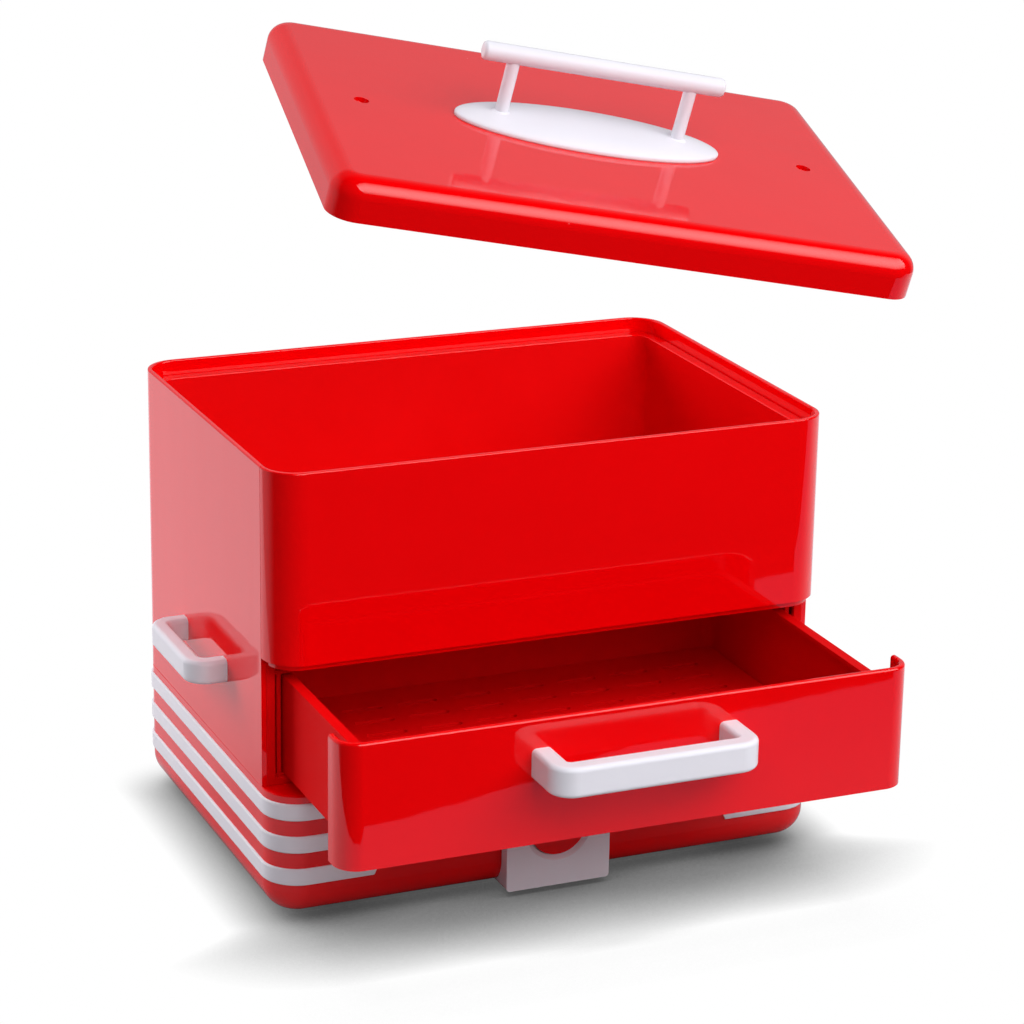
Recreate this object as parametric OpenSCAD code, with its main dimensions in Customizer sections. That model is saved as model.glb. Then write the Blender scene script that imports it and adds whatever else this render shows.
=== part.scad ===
// Counter-top hot dog steamer: a moulded base with a water tank and heater, a slide-out drawer,
// an upper bin for buns and a lift-off lid. Millimetres, +Z up, origin on the table under the middle.
// The lid is drawn taken off and tipped, and the drawer is drawn part way out.

/* [Body] */
// Width of the housing over its side walls
body_w = 300; // [260:1:340]
// Depth of the housing from front to back
body_d = 217; // [200:1:250]
// Radius of the upright corners
corner_r = 18; // [16:0.5:24]
// Wall of the moulded shells
wall = 2.5; // [2:0.1:3]
// Radius that breaks the exposed edges of the shells
edge_r = 0.8; // [0.3:0.1:1]

/* [Base] */
// Height of the feet under the base
foot_h = 3.5; // [3:0.5:8]
// Diameter of a foot
foot_d = 18; // [12:1:24]
// Height of the base without its feet
base_h = 65.5; // [62:0.5:75]
// Radius of the base's bottom edge
base_edge_r = 14; // [11:0.5:15]
// Distance of the feet in from the left and right sides
foot_in_x = 43; // [38:1:52]
// Distance of the feet in from the front and back
foot_in_y = 30.5; // [29:0.5:40]
// Distance of the cover's screws in from the left and right sides
boss_in_x = 22; // [20:0.5:26]
// Distance of the cover's screws in from the front and back
boss_in_y = 23.5; // [21:0.5:25]
// Diameter of the bosses that take those screws
boss_d = 9; // [7:0.5:10]
// Length of a cooling slot between its round ends
cool_l = 40; // [20:1:50]
// Distance from one cooling slot to the next
cool_pitch = 14; // [9:0.5:16]
// Distance of the two rows of cooling slots from the middle
cool_y = 50; // [35:1:60]
// Thickness of the bottom cover
cover_t = 2.5; // [2:0.1:4]

/* [Bands] */
// Height of a trim band
band_h = 9; // [6:0.5:10]
// Distance from one trim band to the next
band_pitch = 17.3; // [13:0.1:18]
// Height of the lowest band above the table
band_low_z = 21.2; // [20:0.1:22]
// How far a band stands proud of the base
band_proud = 1; // [0.4:0.1:1.5]
// How deep a band is let into the base
band_sunk = 0.8; // [0.4:0.1:1.2]
// Half of the bare stretch between the ends of the lowest band
band_end_x = 96; // [70:1:110]
// How far each band reaches past the end of the band below it
band_step = 7.5; // [0:0.5:12]

/* [Badge and dial] */
// Width of the badge
badge_w = 57; // [48:1:70]
// Height of the badge's top above the table
badge_top_z = 57; // [54:1:62]
// Height of the badge's lower edge above the table
badge_low_z = 3; // [2:0.5:4]
// How far the badge stands out of the base
badge_out = 7; // [6.5:0.5:10]
// Height of the dial's centre above the table
dial_z = 35; // [32:0.5:36]
// Diameter of the dial
dial_d = 31; // [26:1:34]
// Depth of the dial's recess
dial_recess = 4.8; // [4:0.2:6]
// Diameter of the dial's shaft
shaft_d = 6; // [5:0.5:8]
// How far the shaft goes into the base behind the front wall
shaft_in = 14; // [10:1:20]
// Length of the thermostat's bush
bush_l = 5; // [3:0.5:8]
// Width of the thermostat
thermo_w = 34; // [24:1:44]
// Height of the thermostat
thermo_h = 28; // [20:1:36]
// Thickness of the thermostat
thermo_t = 19; // [17:1:22]

/* [Opening and hood] */
// Height of the opening between the base and the hood
opening_h = 68; // [60:1:80]
// Height of the hood up to the rim
hood_h = 98; // [85:1:120]
// Width of the frame's strip inside each side wall
jamb_w = 4.7; // [3:0.1:5]
// Height of the frame's sill
sill_h = 4; // [2:0.5:5]
// How far the hood's inner lip hangs below its front
hood_lip_h = 3; // [2:0.5:5]

/* [Drawer] */
// How far the drawer is drawn out
drawer_open = 95; // [0:1:145]
// Thickness of the drawer's front
front_t = 3.5; // [2.5:0.1:4.5]
// How far the drawer's rim lies below the top of its front
rim_drop = 8; // [1:0.5:12]
// Gap between the drawer's box and the sides of the frame's window
box_side_gap = 4.8; // [2:0.1:12]
// Gap between the closed drawer's box and the back wall
box_back_gap = 18; // [2:1:60]
// Thickness of the drawer's ledge and rim
box_rim_t = 2.5; // [2:0.1:4]
// Width of the rim along the drawer's sides and back
box_rim = 5.5; // [4:0.5:8]
// Width of the rim along the drawer's front
box_front_rim = 8; // [5:0.5:12]
// Width of the ledge that carries the drawer's grid
box_ledge = 8; // [5:0.5:12]

/* [Bow handles] */
// Length of the drawer's handle
pull_l = 109; // [80:1:140]
// Reach of the drawer's handle from the front
pull_reach = 30; // [24:1:40]
// Height of the drawer's handle
pull_h = 15.5; // [12:0.5:20]
// Thickness of the drawer's handle
pull_t = 10.5; // [8:0.5:11]
// Length of a side handle
grip_l = 74; // [60:1:110]
// Reach of a side handle from the wall
grip_reach = 20; // [18:1:35]
// Height of a side handle
grip_h = 12.5; // [10:0.5:18]
// Thickness of a side handle
grip_t = 9; // [7:0.5:11]
// Outer corner radius of the handles in plan
bow_r = 12; // [11.5:0.5:14]
// Radius along the edges of the handles
bow_edge = 2.5; // [1:0.5:3.5]
// Height of the handles' middle above the table
bow_z = 111; // [105:1:115]

/* [Bun bin] */
// How far the bin's flange lies below the rim
bin_drop = 8; // [7:0.5:12]
// Width of the bin's flange
bin_flange = 6.5; // [6:0.5:9]
// Depth of the bin below its flange
bin_depth = 76; // [55:1:77]
// Wall of the bin
bin_wall = 2; // [1.5:0.1:2.4]
// Width of the ledge that carries the bin's grid
bin_ledge = 7; // [5:0.5:12]

/* [Grids] */
// Thickness of the two perforated grids
grid_t = 2; // [1.5:0.1:3]
// Plain margin round the steam slots
grid_margin = 14; // [12:1:24]
// Length of a steam slot
slot_l = 22; // [14:1:24]
// Width of a steam slot
slot_w = 4; // [3:0.5:6]
// Steam slots across
slots_x = 8; // [4:1:8]
// Steam slots from front to back
slots_y = 9; // [5:1:10]

/* [Tank and heater] */
// Distance of the water tank in from the left and right sides
tank_in_x = 35; // [32:0.5:70]
// Distance of the water tank in from the front
tank_in_front = 46.5; // [42:0.5:60]
// Distance of the water tank in from the back
tank_in_back = 30.5; // [30:0.5:45]
// Width of the tank's flange on the deck
tank_rim = 7; // [4:0.5:8]
// Corner radius of the tank
tank_r = 12; // [6:0.5:20]
// Depth of the water tank
tank_depth = 29; // [20:1:34]
// Sheet thickness of the tank
tank_t = 1.2; // [0.8:0.1:2]
// Diameter of the heating plate where it goes through the tank's floor
heater_d = 104; // [80:1:112]
// Width of the heating plate's rim on the tank's floor
heater_rim = 8; // [5:0.5:12]
// Thickness of that rim
heater_rim_t = 3; // [2:0.5:5]
// How far the heating plate goes down below the tank's floor
heater_body_h = 7; // [4:0.5:9]
// Thickness of the heating element's tube
heater_tube = 7; // [5:0.5:8]
// Length of the heating element's terminals
terminal_l = 9; // [5:1:12]

/* [Lid] */
// Height of the lid above the rim
lid_h = 22; // [17:0.5:30]
// How far the lid stands out past the housing's walls
lid_over = 4; // [1:0.5:6]
// Radius of the lid's upright corners
lid_r = 14; // [13:0.5:20]
// Radius of the lid's top edge
lid_edge_r = 10; // [6:0.5:12]
// Depth of the lip that plugs into the rim
lid_lip_h = 3.5; // [2:0.5:5]
// Diameter of a steam vent
vent_d = 8; // [5:0.5:12]
// Distance of the vents in from the housing's sides
vent_in = 28; // [20:1:60]
// Length of the oval plate under the lid's handle
plate_l = 145; // [130:1:160]
// Breadth of the oval plate
plate_b = 56; // [40:1:70]
// Thickness of the oval plate at its rim
plate_t = 1.4; // [1:0.1:3]
// Rise of the oval plate from its rim to its middle
plate_rise = 5.8; // [3:0.1:8]
// Distance between the handle's posts
post_span = 97; // [80:1:105]
// Diameter of a post
post_d = 7; // [6:0.5:10]
// Free height of a post
post_h = 25.5; // [22:0.5:40]
// Diameter of the lid's handle bar
bar_d = 10; // [9:0.5:16]
// Length of the lid's handle bar
bar_l = 132; // [115:1:160]
// Angle through which the lid is swung off its seat
lid_swing = 17.7; // [0:0.1:22]

/* [Fits] */
// Gap between a moving piece and its neighbour
run_gap = 0.3; // [0.2:0.05:0.5]
// Gap round pieces that drop in or plug together
drop_gap = 0.5; // [0.3:0.05:1]
// Width of the seam between the side walls and the hood
seam_gap = 0.5; // [0.3:0.1:1]
// Play of the drawer's box on each side
drawer_play = 1; // [0.5:0.1:2]
// Diameter of the screws' shanks
screw_d = 3.8; // [3:0.1:4]
// Diameter of the screws' heads
screw_head_d = 7; // [6:0.5:8]
// Height of the screws' heads
screw_head_h = 2.4; // [1.5:0.1:3]
// How far a screw goes into the piece that it holds
screw_bite = 12; // [8:1:14]

/* [Hidden] */
$fn = 64;
eps = 0.01;

// Levels above the table
base_low = foot_h;
base_top = foot_h + base_h;
hood_low = base_top + opening_h;
rim_z = hood_low + hood_h;
cover_top = base_low + cover_t;
deck_low = base_top - wall;
sill_top = base_top + sill_h;
window_top = hood_low - hood_lip_h;
front_gap = 0.6;
front_low = base_top + front_gap;
front_top = window_top - front_gap;
box_low = sill_top + 4 * run_gap;
box_top = front_top - rim_drop;
flange_top = rim_z - bin_drop;
bin_low = flange_top - bin_depth;

// Plan
front_y = -body_d / 2;
back_y = body_d / 2;
seam_y = front_y + corner_r;
inner_x = body_w / 2 - wall;
inner_r = corner_r - wall;
window_x = inner_x - jamb_w;
box_x = window_x - box_side_gap;
box_y0 = front_y + front_t;
box_y1 = back_y - wall - box_back_gap;
box_w = 2 * box_x;
box_l = box_y1 - box_y0;
box_y = (box_y0 + box_y1) / 2;
box_r = corner_r - (body_w / 2 - box_x) + 2;
fence_x = box_x + drawer_play;
tank_w = body_w - 2 * tank_in_x;
tank_l = body_d - tank_in_front - tank_in_back;
tank_y = (tank_in_front - tank_in_back) / 2;
tank_low = base_top - tank_depth;
tank_floor = tank_low + tank_t;
foot_x = body_w / 2 - foot_in_x;
foot_y = body_d / 2 - foot_in_y;
boss_x = body_w / 2 - boss_in_x;
boss_y = body_d / 2 - boss_in_y;
vent_x = body_w / 2 - vent_in;
gland_x = 60;
gland_z = 30;
gland_d = 12;
cord_d = 7;
red = [0.80, 0.01, 0.02];
white = [0.92, 0.92, 0.94];
steel = [0.72, 0.73, 0.75];
dark = [0.10, 0.10, 0.11];

// The lid swings about an axis in the air off the front right corner. The axis lies at this angle in
// plan and sinks to the back, and it passes the rim's level this far from the middle in this direction.
swing_plan = 39.8;
swing_sink = 31.1;
swing_dist = 406;
swing_at = 35.8;
swing_axis = [cos(swing_plan) * cos(swing_sink), sin(swing_plan) * cos(swing_sink), -sin(swing_sink)];
swing_point = [swing_dist * sin(swing_at), -swing_dist * cos(swing_at), rim_z];

// Half the size of a rounded rectangle along the side numbered i: right, back, left, front
function reach_of(w, d, i) = (i % 2 == 0 ? w : d) / 2;

// Carries a profile round a rounded rectangle. In the profile, x is the distance out from the centres
// of the corners and y is the height. Sides and corners are numbered from the right, turning to the back.
module around(w, d, r, sides = [0, 1, 2, 3], corners = [0, 1, 2, 3]) {
    for (i = sides) {
        run = 2 * (reach_of(w, d, i + 1) - r);
        rotate([0, 0, 90 * i])
            translate([reach_of(w, d, i) - r, run / 2, 0])
                rotate([90, 0, 0])
                    linear_extrude(run)
                        children();
    }
    for (i = corners) {
        rotate([0, 0, 90 * i])
            translate([reach_of(w, d, i) - r, reach_of(w, d, i + 1) - r, 0])
                rotate_extrude(angle = 90)
                    children();
    }
}

module rounded_rect(w, d, r) {
    square([w, d - 2 * r], center = true);
    square([w - 2 * r, d], center = true);
    for (x = [-1, 1], y = [-1, 1])
        translate([x * (w / 2 - r), y * (d / 2 - r)])
            circle(r);
}

module plate(w, d, r, z, t) {
    translate([0, 0, z])
        linear_extrude(t)
            rounded_rect(w, d, r);
}

module span(x0, x1, y0, y1) {
    translate([x0, y0])
        square([x1 - x0, y1 - y0]);
}

module block(x0, x1, y0, y1, z0, z1) {
    translate([x0, y0, z0])
        cube([x1 - x0, y1 - y0, z1 - z0]);
}

// A quarter of a ring between two radii, to the right of and below its centre
module quarter_ring(r_out, r_in) {
    intersection() {
        difference() {
            circle(r_out);
            circle(r_in);
        }
        span(0, r_out + 1, -r_out - 1, 0);
    }
}

// A wall's section with its upper edge rounded on both sides
module wall_section(x0, x1, z0, z1, r) {
    span(x0, x1, z0, z1 - r);
    span(x0 + r, x1 - r, z1 - r, z1);
    translate([x0 + r, z1 - r]) circle(r);
    translate([x1 - r, z1 - r]) circle(r);
}

// A pan-head screw standing on its head's underside, with its shank up
module pan_screw(shank_l) {
    slot_d = screw_head_h / 2;
    slot_t = screw_head_d / 8;
    difference() {
        translate([0, 0, -screw_head_h]) cylinder(d = screw_head_d, h = screw_head_h);
        for (a = [0, 90])
            rotate([0, 0, a])
                translate([-screw_head_d / 3, -slot_t / 2, -screw_head_h - eps])
                    cube([screw_head_d * 2 / 3, slot_t, slot_d]);
    }
    cylinder(d = screw_d, h = shank_l);
}

screw_hole = screw_d + 0.4;
pilot_d = screw_d + 0.1;

// A bow handle on a wall at y = 0: a bar along x and two legs, swept with one rounded section
module bow_handle(len, reach, t, h) {
    module section() {
        translate([bow_r - t / 2, 0])
            rounded_rect(t, h, bow_edge);
    }
    difference() {
        union() {
            around(len, 2 * reach, bow_r, [3], [2, 3]) section();
            for (s = [0, 1])
                mirror([s, 0, 0])
                    translate([len / 2 - bow_r, 0, 0])
                        rotate([90, 0, 0])
                            linear_extrude(reach - bow_r)
                                section();
        }
        for (x = [-1, 1])
            translate([x * (len - t) / 2, eps, 0])
                rotate([90, 0, 0])
                    cylinder(d = pilot_d, h = screw_bite + 1);
    }
}

// Perforated grid: rows of round-ended steam slots in a plate, laid out to fill it
module slotted_grid(w, d, r, z) {
    pitch_x = (w - 2 * grid_margin) / slots_x;
    pitch_y = (d - 2 * grid_margin) / slots_y;
    difference() {
        plate(w, d, r, z, grid_t);
        for (i = [0 : slots_x - 1], j = [0 : slots_y - 1])
            translate([(i - (slots_x - 1) / 2) * pitch_x, (j - (slots_y - 1) / 2) * pitch_y, z - 1])
                linear_extrude(grid_t + 2) {
                    square([slot_l - slot_w, slot_w], center = true);
                    for (s = [-1, 1])
                        translate([s * (slot_l - slot_w) / 2, 0])
                            circle(d = slot_w);
                }
    }
}

module corners_at(x, y) {
    for (sx = [-1, 1], sy = [-1, 1])
        translate([sx * x, sy * y, 0])
            children();
}

module drawn_out() {
    translate([0, -drawer_open, 0])
        children();
}

module swung_off() {
    translate(swing_point)
        rotate(a = lid_swing, v = swing_axis)
            translate(-swing_point)
                children();
}

// BASE

// The base's outside, solid, for what is cut to fit against it
module base_outside() {
    arc_x = corner_r - base_edge_r;
    arc_z = base_low + base_edge_r;
    around(body_w, body_d, corner_r) {
        union() {
            span(0, corner_r, arc_z, base_top);
            span(0, arc_x, base_low, arc_z);
            translate([arc_x, arc_z]) quarter_ring(base_edge_r, 0);
        }
    }
    block(-body_w / 2 + corner_r, body_w / 2 - corner_r, seam_y, -seam_y, base_low, base_top);
}

// Moulded lower housing: skirt rolled under at the bottom, deck on top, screw bosses inside
module base_shell() {
    arc_x = corner_r - base_edge_r;
    arc_z = base_low + base_edge_r;
    color(red)
    difference() {
        union() {
            around(body_w, body_d, corner_r) {
                union() {
                    span(inner_r, corner_r, arc_z, deck_low);
                    translate([arc_x, arc_z]) quarter_ring(base_edge_r, base_edge_r - wall);
                    span(0, corner_r - edge_r, deck_low, base_top);
                    span(0, corner_r, deck_low, base_top - edge_r);
                    translate([corner_r - edge_r, base_top - edge_r]) circle(edge_r);
                }
            }
            block(-body_w / 2 + corner_r, body_w / 2 - corner_r, seam_y, -seam_y, deck_low, base_top);
            corners_at(boss_x, boss_y)
                translate([0, 0, cover_top])
                    cylinder(d = boss_d, h = deck_low - cover_top + eps);
        }
        corners_at(boss_x, boss_y)
            translate([0, 0, cover_top - 1])
                cylinder(d = pilot_d, h = screw_bite + 2);
        translate([0, tank_y, 0])
            plate(tank_w + 2 * drop_gap, tank_l + 2 * drop_gap, tank_r + drop_gap, deck_low - 1, wall + 2);
        translate([0, front_y - 1, dial_z])
            rotate([-90, 0, 0])
                cylinder(d = shaft_d + 2, h = wall + 2);
        translate([gland_x, back_y - wall - 1, gland_z])
            rotate([-90, 0, 0])
                cylinder(d = gland_d, h = wall + 2);
        for (i = [0, 1, 2]) band(i);
    }
}

// Bottom cover with cooling slots, held up by four screws
module bottom_cover() {
    cover_w = body_w - 2 * base_edge_r - 2 * run_gap;
    cover_d = body_d - 2 * base_edge_r - 2 * run_gap;
    color(dark)
    difference() {
        plate(cover_w, cover_d, corner_r - base_edge_r - run_gap, base_low, cover_t);
        corners_at(boss_x, boss_y)
            translate([0, 0, base_low - 1]) cylinder(d = screw_hole, h = cover_t + 2);
        corners_at(foot_x, foot_y)
            translate([0, 0, base_low - 1]) cylinder(d = foot_d / 3 + 2 * run_gap, h = cover_t + 2);
        for (s = [-1, 1], i = [-3 : 3])
            translate([i * cool_pitch, s * cool_y, base_low - 1])
                linear_extrude(cover_t + 2) {
                    square([slot_w, cool_l], center = true);
                    for (e = [-1, 1]) translate([0, e * cool_l / 2]) circle(d = slot_w);
                }
    }
}

// Rubber feet: a pad that narrows downwards and a stem with a head above the cover
module rubber_feet() {
    stem_r = foot_d / 6;
    lip = 1.2;
    color(dark)
    corners_at(foot_x, foot_y)
        rotate_extrude()
            polygon([
                [0, 0], [foot_d / 2 - lip, 0], [foot_d / 2, lip], [foot_d / 2, base_low], [stem_r, base_low],
                [stem_r, cover_top + run_gap], [stem_r + lip, cover_top + run_gap],
                [stem_r, cover_top + run_gap + 2 * lip], [0, cover_top + run_gap + 2 * lip]
            ]);
}

module bottom_screws() {
    color(steel)
    corners_at(boss_x, boss_y)
        translate([0, 0, base_low]) pan_screw(cover_t + screw_bite);
}

// One trim band, numbered from the lowest: it lies in two lengths, one along each side, that turn on
// to the front and back and end on a slant
module band(i) {
    z0 = band_low_z + i * band_pitch;
    x0 = corner_r - band_sunk;
    x1 = corner_r + band_proud;
    r = min(band_proud, band_h / 4);
    slant = band_step / band_pitch;
    low_mid = band_low_z + band_h / 2;
    function end_x(z) = band_end_x - slant * (z - low_mid);
    z_cut = [z0 - 1, z0 + band_h + 1];
    color(white)
    difference() {
        around(body_w, body_d, corner_r) {
            union() {
                span(x0, x1 - r, z0, z0 + band_h);
                span(x0, x1, z0 + r, z0 + band_h - r);
                for (z = [z0 + r, z0 + band_h - r])
                    translate([x1 - r, z]) circle(r);
            }
        }
        translate([0, body_d, 0])
            rotate([90, 0, 0])
                linear_extrude(2 * body_d)
                    polygon([
                        [-end_x(z_cut[0]), z_cut[0]], [end_x(z_cut[0]), z_cut[0]],
                        [end_x(z_cut[1]), z_cut[1]], [-end_x(z_cut[1]), z_cut[1]]
                    ]);
    }
}

module band_top() { band(2); }
module band_middle() { band(1); }
module band_low() { band(0); }

// Badge on the front: a block with rounded corners, hollowed to the base's curve, with a bevelled
// round recess for the dial
module badge_plate() {
    badge_r = 2;
    bevel = 2.2;
    recess_r = dial_d / 2 + 2 * run_gap;
    badge_h = badge_top_z - badge_low_z;
    color(white)
    difference() {
        translate([0, front_y + base_edge_r, badge_low_z + badge_h / 2])
            rotate([90, 0, 0])
                linear_extrude(base_edge_r + badge_out)
                    rounded_rect(badge_w, badge_h, badge_r);
        base_outside();
        translate([0, front_y - badge_out, dial_z])
            rotate([-90, 0, 0]) {
                translate([0, 0, -1]) cylinder(r = recess_r, h = dial_recess + 1);
                translate([0, 0, -eps]) cylinder(r1 = recess_r + bevel, r2 = recess_r, h = bevel);
                cylinder(d = shaft_d + 2, h = badge_out + wall + 1);
            }
    }
}

// Dial that sets the steam: a flat disc in the badge's recess, with a grip across it
module control_knob() {
    disc_y = front_y - badge_out + dial_recess - run_gap;
    disc_t = dial_recess - run_gap - 0.8;
    grip_w = dial_d * 0.84;
    grip_t = 7;
    grip_out = 6;
    mark_w = 1.4;
    color(red)
    difference() {
        translate([0, disc_y, dial_z])
            rotate([90, 0, 0]) {
                cylinder(d = dial_d, h = disc_t);
                linear_extrude(disc_t + grip_out)
                    rounded_rect(grip_w, grip_t, grip_t / 2 - eps);
            }
        translate([0, disc_y + eps, dial_z])
            rotate([90, 0, 0])
                cylinder(d = shaft_d, h = disc_t / 2);
        translate([grip_w / 4, disc_y - disc_t - grip_out - 1, dial_z - mark_w / 2])
            cube([grip_w / 4 + eps, 1.6, mark_w]);
    }
}

// Shaft from the dial into the thermostat
module knob_shaft() {
    disc_y = front_y - badge_out + dial_recess - run_gap;
    disc_t = dial_recess - run_gap - 0.8;
    y0 = disc_y - disc_t / 2;
    y1 = front_y + wall + shaft_in;
    color(steel)
    translate([0, y0, dial_z])
        rotate([-90, 0, 0])
            cylinder(d = shaft_d, h = y1 - y0);
}

// Thermostat behind the base's front wall, with the bush that the shaft turns in
module thermostat() {
    y0 = front_y + wall;
    bush_d = shaft_d + 8;
    color(steel)
    difference() {
        union() {
            translate([0, y0, dial_z]) rotate([-90, 0, 0]) cylinder(d = bush_d, h = bush_l + 1);
            block(-thermo_w / 2, thermo_w / 2, y0 + bush_l, y0 + bush_l + thermo_t,
                dial_z - thermo_h / 2, dial_z + thermo_h / 2);
        }
        translate([0, y0 - 1, dial_z])
            rotate([-90, 0, 0])
                cylinder(d = shaft_d + 2 * run_gap, h = shaft_in + 3);
    }
}

// Pressed water tank, hung by its flange in the deck, with a hole for the heating plate
module water_tank() {
    flange_w = tank_w + 2 * tank_rim;
    flange_l = tank_l + 2 * tank_rim;
    color(steel)
    translate([0, tank_y, 0])
    difference() {
        union() {
            plate(flange_w, flange_l, tank_r + tank_rim, base_top, tank_t);
            plate(tank_w, tank_l, tank_r, tank_low, tank_depth + eps);
        }
        plate(tank_w - 2 * tank_t, tank_l - 2 * tank_t, tank_r - tank_t, tank_floor, tank_depth + 2);
        translate([0, 0, tank_low - 1]) cylinder(d = heater_d, h = tank_t + 2);
    }
}

// Heating plate: its rim lies on the tank's floor and its body goes down through the hole
module heating_plate() {
    color(steel)
    translate([0, tank_y, tank_floor]) {
        cylinder(d = heater_d + 2 * heater_rim, h = heater_rim_t);
        translate([0, 0, -heater_body_h]) cylinder(d = heater_d - 2 * run_gap, h = heater_body_h + eps);
    }
}

// Heating element: a ring under the plate with two terminals
module heating_element() {
    ring_r = heater_d / 3;
    color(dark)
    translate([0, tank_y, tank_floor - heater_body_h - heater_tube]) {
        rotate_extrude()
            translate([ring_r - heater_tube / 2, 0])
                square(heater_tube);
        for (s = [-1, 1])
            translate([s * heater_tube, -ring_r, -terminal_l])
                cylinder(d = heater_tube / 2, h = terminal_l + eps);
    }
}

// Bushed hole in the back of the base for the mains lead
module cord_gland() {
    flange_d = gland_d + 6;
    flange_t = 2.5;
    color(dark)
    translate([gland_x, back_y - wall, gland_z])
        rotate([-90, 0, 0])
            difference() {
                union() {
                    cylinder(d = gland_d - 0.1, h = wall);
                    translate([0, 0, wall]) cylinder(d = flange_d, h = flange_t);
                }
                translate([0, 0, -1]) cylinder(d = cord_d, h = wall + flange_t + 2);
            }
}

// HOUSING

// Ledge inside the walls that the bun bin hangs on
module bin_ledge_section() {
    ledge_w = 4;
    ledge_t = 3;
    z1 = flange_top - bin_wall;
    polygon([[inner_r + eps, z1], [inner_r - ledge_w, z1], [inner_r - ledge_w, z1 - ledge_t / 2],
        [inner_r + eps, z1 - ledge_t - ledge_w / 2]]);
}

// Sides and back in one moulding, standing on the base
module housing_shell() {
    color(red)
    difference() {
        around(body_w, body_d, corner_r, [0, 1, 2], [0, 1]) {
            union() {
                wall_section(inner_r, corner_r, base_top, rim_z, edge_r);
                bin_ledge_section();
            }
        }
        for (sx = [-1, 1], sy = [-1, 1])
            translate([sx * body_w / 2, sy * (grip_l - grip_t) / 2, bow_z])
                rotate([0, 90, 0])
                    cylinder(d = screw_hole, h = 4 * wall, center = true);
        block(-body_w, body_w, seam_y - 1, seam_y + seam_gap, base_top - 1, rim_z + 1);
    }
}

// Hood across the front over the drawer, with a floor and a lip behind its lower edge
module front_panel() {
    color(red)
    around(body_w, body_d, corner_r, [3], [2, 3]) {
        union() {
            wall_section(inner_r, corner_r, hood_low, rim_z, edge_r);
            span(0, inner_r + eps, hood_low, hood_low + wall);
            span(inner_r - wall, inner_r, window_top, hood_low + eps);
            bin_ledge_section();
        }
    }
}

// Frame set back behind the corners, with the window that the drawer runs through
module drawer_frame() {
    frame_top = hood_low + 3 * wall;
    color(red)
    difference() {
        block(-inner_x, inner_x, seam_y, seam_y + wall, base_top, frame_top);
        block(-window_x, window_x, seam_y - 1, seam_y + wall + 1, sill_top, window_top);
    }
}

// Drawer runner: pad under the box, fence beside it and hold-down strip above it, webbed to the wall
module runner(side) {
    pad_in = tank_w / 2 + tank_rim + 2;
    hold_in = box_x - box_rim;
    pad_top = box_low - run_gap;
    hold_low = box_top + 3 * run_gap;
    y0 = seam_y + wall;
    y1 = back_y - wall - corner_r;
    color(red)
    translate([0, y1, 0])
        rotate([90, 0, 0])
            linear_extrude(y1 - y0)
                mirror([side, 0]) {
                    span(pad_in, inner_x, base_top, pad_top);
                    span(fence_x, fence_x + wall, base_top, hold_low + wall);
                    span(hold_in, inner_x, hold_low, hold_low + wall);
                }
}

module runner_left() { runner(1); }
module runner_right() { runner(0); }

// Bun bin: flanged liner that hangs in the housing, with a ledge for its grid
flange_w = body_w - 2 * wall - 2 * drop_gap;
flange_d = body_d - 2 * wall - 2 * drop_gap;
flange_r = inner_r - drop_gap;
bin_in_r = flange_r - bin_flange;
module bun_bin() {
    well_w = flange_w - 2 * bin_flange;
    well_d = flange_d - 2 * bin_flange;
    color(red)
    difference() {
        union() {
            plate(flange_w, flange_d, flange_r, flange_top - bin_wall, bin_wall);
            plate(well_w + 2 * bin_wall, well_d + 2 * bin_wall, bin_in_r + bin_wall, bin_low, bin_depth);
        }
        plate(well_w, well_d, bin_in_r, bin_low + bin_wall, bin_depth);
        plate(well_w - 2 * bin_ledge, well_d - 2 * bin_ledge, bin_in_r, bin_low - 1, bin_wall + 2);
    }
}

module bun_grid() {
    grid_w = flange_w - 2 * bin_flange - 2 * drop_gap;
    grid_d = flange_d - 2 * bin_flange - 2 * drop_gap;
    color(red)
    slotted_grid(grid_w, grid_d, bin_in_r - drop_gap, bin_low + bin_wall);
}

// Carrying handles screwed to the side walls from inside
module side_handle(turn) {
    color(white)
    rotate([0, 0, turn])
        translate([0, -body_w / 2, bow_z])
            bow_handle(grip_l, grip_reach, grip_t, grip_h);
}

module side_handle_left() { side_handle(-90); }
module side_handle_right() { side_handle(90); }

module side_handle_screws() {
    color(steel)
    for (turn = [0, 180], sy = [-1, 1])
        rotate([0, 0, turn])
            translate([inner_x, sy * (grip_l - grip_t) / 2, bow_z])
                rotate([0, 90, 0])
                    pan_screw(wall + screw_bite);
}

// DRAWER, modelled closed and then drawn out

module pull_screw_places() {
    for (x = [-1, 1])
        translate([x * (pull_l - pull_t) / 2, 0, bow_z])
            children();
}

module pull_screw_holes() {
    pull_screw_places()
        translate([0, box_y0, 0])
            rotate([90, 0, 0])
                cylinder(d = screw_hole, h = 4 * wall, center = true);
}

// Front with rounded ends that turn back to meet the side walls
module drawer_front() {
    color(red)
    drawn_out()
    difference() {
        around(body_w, body_d, corner_r, [3], [2, 3])
            wall_section(corner_r - front_t, corner_r, front_low, front_top, 0.45 * front_t);
        block(-body_w, body_w, seam_y - drop_gap, 0, 0, rim_z);
        pull_screw_holes();
    }
}

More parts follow.
